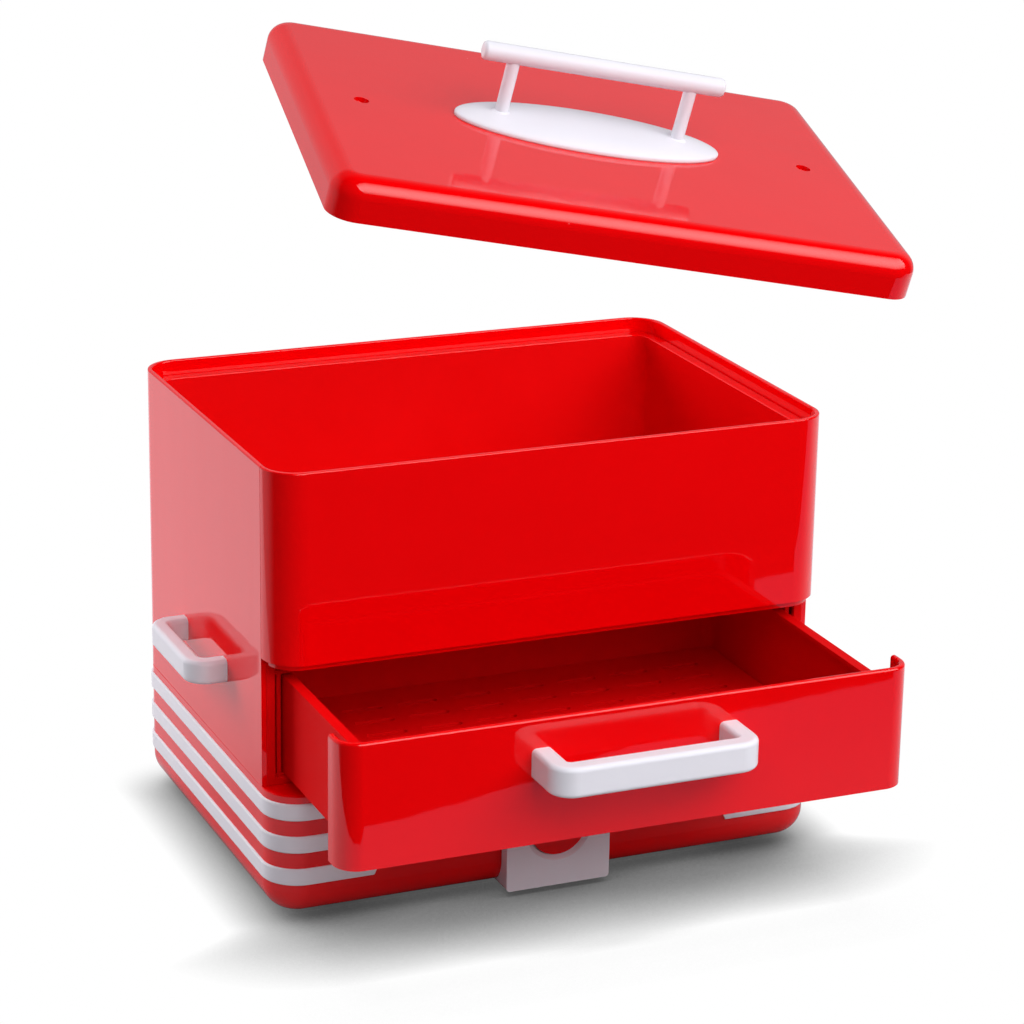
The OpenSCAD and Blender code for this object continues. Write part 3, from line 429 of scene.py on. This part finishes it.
# Drawer frame and runners: red ABS behind the hood, set back from it and screwed to the deck.
# ABS from a ground mould is dull and scatters light evenly; its grain of 0.8 mm is drawn at 1.6 mm.
frame_easing = 0.6 * mm
runner_easing = 0.5 * mm
ground_grain = 1.6 * mm
ground_depth = 0.03 * mm
cloud_width = 30 * mm
# The dull finish is the moulding's own. Its red is darker than the shells' red, and that is painted shade for
# the doorway, runners, drawer box, grids and bin walls, which all sit in shade.
satin_abs_painted_shade, tree = blank("moulded_red_abs_satin_painted_shade")
where = add(tree, "ShaderNodeTexCoord")
grain = add(tree, "ShaderNodeTexNoise", {"Scale": 1 / ground_grain, "Detail": 1.0},
            {"Vector": where.outputs["Object"]})
cloud = add(tree, "ShaderNodeTexNoise", {"Scale": 1 / cloud_width, "Detail": 2.0},
            {"Vector": where.outputs["Object"]})
shade = add(tree, "ShaderNodeMix", {"data_type": "RGBA", 6: linear("#DA0205"), 7: linear("#E00408")},
            {0: cloud.outputs["Fac"]})
dull = add(tree, "ShaderNodeMapRange", {"To Min": 0.48, "To Max": 0.60}, {"Value": cloud.outputs["Fac"]})
bump = add(tree, "ShaderNodeBump", {"Strength": 0.3, "Distance": ground_depth},
           {"Height": grain.outputs["Fac"]})
plastic = add(tree, "ShaderNodeBsdfPrincipled", {"IOR": 1.50, "Specular IOR Level": 0.06},
              {"Base Color": shade.outputs[2], "Roughness": dull.outputs[0], "Normal": bump.outputs[0]})
add(tree, "ShaderNodeOutputMaterial", None, {"Surface": plastic.outputs[0]})
eased("drawer_doorway", "drawer_frame", frame_easing, "stand", satin_abs_painted_shade)
eased("runner_rail_left", "runner_left", runner_easing, "stand", satin_abs_painted_shade)
eased("runner_rail_right", "runner_right", runner_easing, "stand", satin_abs_painted_shade)

# Bin: a red ABS liner that hangs by its flange in the housing's mouth, with a slotted floor laid in it.
# The flange is polished like the shells, and the walls below it are dull, in the satin's darker red that is
# painted shade inside the bin.
bin_easing = 0.6 * mm
flange_depth = 4.0 * mm
liner = eased("bin_liner", "bun_bin", bin_easing, "stand", satin_abs_painted_shade)
liner.data.materials.append(red_abs)
flange_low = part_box("bun_bin")[1][2] - flange_depth
for face in liner.data.polygons:
    if face.center.z > flange_low:
        face.material_index = 1
dress(satin_abs_painted_shade, "bun_grid")

# Side handles: white ABS bows with rounded corners, one on each side wall, to carry the steamer by.
# Each is moulded in one piece and held by two screws that come through the wall from inside.
dress(white_abs, "side_handle_left", "side_handle_right")

# Drawer: a glossy red front screwed to a dull red box with a slotted floor, and a white bow to pull.
# The front turns back at both ends round corners that are tighter than the housing's.
front_half = 150.0 * mm
front_plane = -203.5 * mm
solid_corner = 18.0 * mm
tight_corner = 12.0 * mm
front_easing = 0.5 * mm
tray_easing = 0.7 * mm


def tighten(point):
    """Carries a point of the front's rounded end to the same depth under the tighter corner."""
    side = math.copysign(1.0, point.x)
    across = abs(point.x) - (front_half - solid_corner)
    if across <= 0.0:
        return point
    before = front_plane + solid_corner - point.y
    depth = solid_corner - math.hypot(across, before)
    flat = solid_corner - tight_corner
    arc = 0.5 * math.pi * tight_corner
    along = math.atan2(across, max(before, 0.0)) / (0.5 * math.pi) * (2 * flat + arc)
    turn = min(max(along - flat, 0.0) / tight_corner, 0.5 * math.pi)
    x = front_half - tight_corner + (tight_corner - depth) * math.sin(turn)
    y = front_plane + tight_corner - (tight_corner - depth) * math.cos(turn)
    if along < flat:
        x -= flat - along
    if along > flat + arc:
        y += along - flat - arc
    if before < 0.0:
        y -= before
    return Vector((side * x, y, point.z))


eased("drawer_face", "drawer_front", front_easing, "drawer", red_abs, tighten)
eased("drawer_tray", "drawer_box", tray_easing, "drawer", satin_abs_painted_shade)
dress(satin_abs_painted_shade, "drawer_grid")
dress(white_abs, "drawer_handle")

# Lid: a shallow glossy red ABS shell with a rolled edge and a lip that drops inside the rim. Two vents
# go through its top, each with a short round collar moulded under it, so that drips fall back inside.
# The lid hangs swung off its seat about a slant axis, and what is made for it here is swung with it.
lid_top = 257.0 * mm
lid_wall = 2.5 * mm
vent_place = 122.0 * mm
vent_radius = 4.0 * mm
collar_wall = 1.5 * mm
collar_drop = 7.0 * mm
collar_root = 0.5 * mm
collar_tip = 0.4 * mm
collar_gap = 0.02 * mm
round_steps = 40
swing_axis = Vector((0.657856, 0.548105, -0.516533))
swing_point = Vector((0.237493, -0.329292, 0.235))
lid_swing = math.radians(17.7)
lid_place = (Matrix.Translation(swing_point) @ Matrix.Rotation(lid_swing, 4, swing_axis)
             @ Matrix.Translation(-swing_point))


def hoop(form, centre_x, radius, z):
    """A ring of points round an upright line in the lid."""
    angles = [2 * math.pi * i / round_steps for i in range(round_steps)]
    return [form.verts.new((centre_x + radius * math.cos(a), radius * math.sin(a), z)) for a in angles]


def skin(form, loops):
    """Walls between rings that follow each other."""
    for low, high in zip(loops, loops[1:]):
        for i in range(len(low)):
            j = (i + 1) % len(low)
            form.faces.new((low[i], low[j], high[j], high[i]))


def lid_piece(form, piece_name, material):
    """Ends a form made for the lid: smooth, swung into place, riding on the lid."""
    crease_angle = math.radians(50)
    for face in form.faces:
        face.smooth = True
    for edge in form.edges:
        edge.smooth = edge.calc_face_angle(0.0) < crease_angle
    form.transform(lid_place)
    mesh = bpy.data.meshes.new(piece_name)
    form.to_mesh(mesh)
    form.free()
    mesh.materials.append(material)
    piece = bpy.data.objects.new(piece_name, mesh)
    bpy.context.scene.collection.objects.link(piece)
    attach(piece, "lid")
    return piece


dress(red_abs, "lid_shell")
form = bmesh.new()
collar_top = lid_top - lid_wall + collar_root
collar_low = lid_top - lid_wall - collar_drop
inner = vent_radius + collar_gap
outer = vent_radius + collar_wall
collar_profile = [
    (inner, collar_top), (inner, collar_low + collar_tip), (inner + collar_tip, collar_low),
    (outer - collar_tip, collar_low), (outer, collar_low + collar_tip), (outer, collar_top),
]
for side in (-1, 1):
    ring = [hoop(form, side * vent_place, radius, z) for radius, z in collar_profile]
    skin(form, ring + ring[:1])
collars = lid_piece(form, "vent_collars", red_abs)

# Lid handle: a domed oval plate, two round posts and a round bar in white ABS, screwed from below.
# The plate rises to a low collar round the foot of each post.
plate_half_l = 72.5 * mm
plate_half_b = 28.0 * mm
plate_edge = 1.4 * mm
plate_upright = 0.6 * plate_edge
plate_rise = 5.8 * mm
plate_steps = 144
plate_rings = 28
post_place = 48.5 * mm
seat_radius = 4.5 * mm
seat_flare = 1.6 * mm
seat_height = 6.211 * mm
seat_profile = [
    (seat_radius + seat_flare, 4.2 * mm), (seat_radius + seat_flare, 5.0 * mm),
    (seat_radius + 0.7 * mm, 5.4 * mm), (seat_radius + 0.15 * mm, 5.9 * mm),
    (seat_radius - 0.15 * mm, seat_height), (2.0 * mm, seat_height),
]
bar_easing = 1.0 * mm

form = bmesh.new()
dome = [0.5 * math.pi * k / plate_rings for k in range(plate_rings)]
outline = [(1.0, 0.0), (1.0, plate_upright)]
outline += [(math.cos(a), plate_edge + plate_rise * math.sin(a)) for a in dome]
around = [2 * math.pi * i / plate_steps for i in range(plate_steps)]
loops = [
    [form.verts.new((share * plate_half_l * math.cos(a), share * plate_half_b * math.sin(a), lid_top + z))
     for a in around]
    for share, z in outline
]
skin(form, loops)
form.faces.new(list(reversed(loops[0])))
crown = form.verts.new((0.0, 0.0, lid_top + plate_edge + plate_rise))
for i in range(plate_steps):
    form.faces.new((loops[-1][i], loops[-1][(i + 1) % plate_steps], crown))
for side in (-1, 1):
    ring = [hoop(form, side * post_place, radius, lid_top + z) for radius, z in seat_profile]
    skin(form, ring)
    form.faces.new(list(reversed(ring[0])))
    form.faces.new(ring[-1])
plate = lid_piece(form, "oval_plate", white_abs)
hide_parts("lid_handle_plate")
dress(white_abs, "lid_post_left", "lid_post_right")
bar = eased("handle_bar", "lid_handle_bar", bar_easing, "lid", white_abs)

# Light on the lid: it hangs over the bin but is lit apart from the body. Each front lamp has a twin in the
# same place that lights the lid alone, and the lamp itself lights the rest as if the lid weren't there.
lid_shown = [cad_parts[name] for name in ("lid_shell", "lid_post_left", "lid_post_right", "lid_screws")]
lid_shown += [collars, plate, bar]
lid_alone = bpy.data.collections.new("lid_alone")
all_but_lid = bpy.data.collections.new("all_but_lid")
for piece in lid_shown:
    lid_alone.objects.link(piece)
    all_but_lid.objects.link(piece)
for entry in all_but_lid.collection_objects:
    entry.light_linking.link_state = "EXCLUDE"
for name in ("soft_box_front_right", "soft_box_camera"):
    lamp = bpy.data.objects[name]
    twin = lamp.copy()
    twin.name = name + "_on_lid"
    bpy.context.scene.collection.objects.link(twin)
    twin.light_linking.receiver_collection = lid_alone
    lamp.light_linking.receiver_collection = all_but_lid
    lamp.light_linking.blocker_collection = all_but_lid
